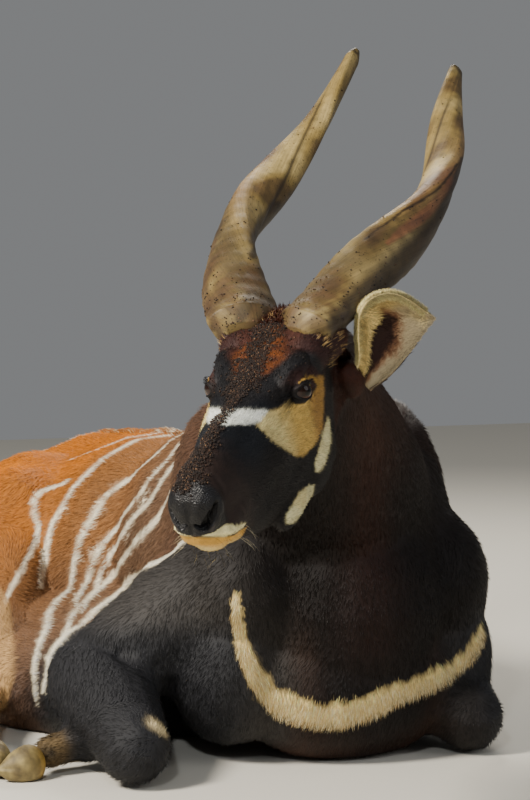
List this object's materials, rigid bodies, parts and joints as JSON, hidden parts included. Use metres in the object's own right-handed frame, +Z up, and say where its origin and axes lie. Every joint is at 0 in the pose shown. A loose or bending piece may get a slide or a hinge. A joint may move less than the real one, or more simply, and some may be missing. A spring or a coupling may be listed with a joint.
{
  "type": "lying bull bongo antelope model",
  "caption": "Life-size still model of a striped forest antelope bull lying on its chest, head raised and turned, with twisted horns.",
  "frame": {"origin": "on the floor, under the middle of the bounding box", "axes": "+Z up, +Y towards the rump and tail, -Y towards the chest, +X to the animal's left"},
  "size_m": [1.0786, 2.012, 1.1941],
  "materials": {
    "face_coat": "short glossy black-brown hair with white and yellow patches",
    "dark_coat": "short near-black hair",
    "chestnut_coat": "short chestnut hair with narrow white stripes",
    "leg_coat": "short dark and tan hair",
    "ear_coat": "thin hair, cream fringe",
    "tail_coat": "chestnut hair with a dark tuft",
    "horn": "worn horn, cream to brown",
    "hoof": "olive-brown horn, matt",
    "eye": "wet dark brown eye"
  },
  "bodies": {
    "root": {"head": "face_coat", "neck": "dark_coat", "chest": "dark_coat", "barrel": "chestnut_coat", "rump": "chestnut_coat", "tail": "tail_coat", "tail_tuft": "tail_coat", "ear_left": "ear_coat", "ear_right": "ear_coat", "eye_left": "eye", "eye_right": "eye", "horn_left": "horn", "horn_right": "horn", "upper_arm_left": "dark_coat", "forearm_left": "dark_coat", "fore_cannon_left": "leg_coat", "fore_foot_left": "leg_coat", "thigh_left": "chestnut_coat", "shank_left": "leg_coat", "hind_cannon_left": "leg_coat", "hind_foot_left": "leg_coat", "hoof_fore_left_inner": "hoof", "hoof_fore_left_outer": "hoof", "hoof_hind_left_inner": "hoof", "hoof_hind_left_outer": "hoof", "upper_arm_right": "dark_coat", "forearm_right": "dark_coat", "fore_cannon_right": "leg_coat", "fore_foot_right": "leg_coat", "thigh_right": "chestnut_coat", "shank_right": "leg_coat", "hind_cannon_right": "leg_coat", "hind_foot_right": "leg_coat", "hoof_fore_right_inner": "hoof", "hoof_fore_right_outer": "hoof", "hoof_hind_right_inner": "hoof", "hoof_hind_right_outer": "hoof"}
  },
  "joints": []
}
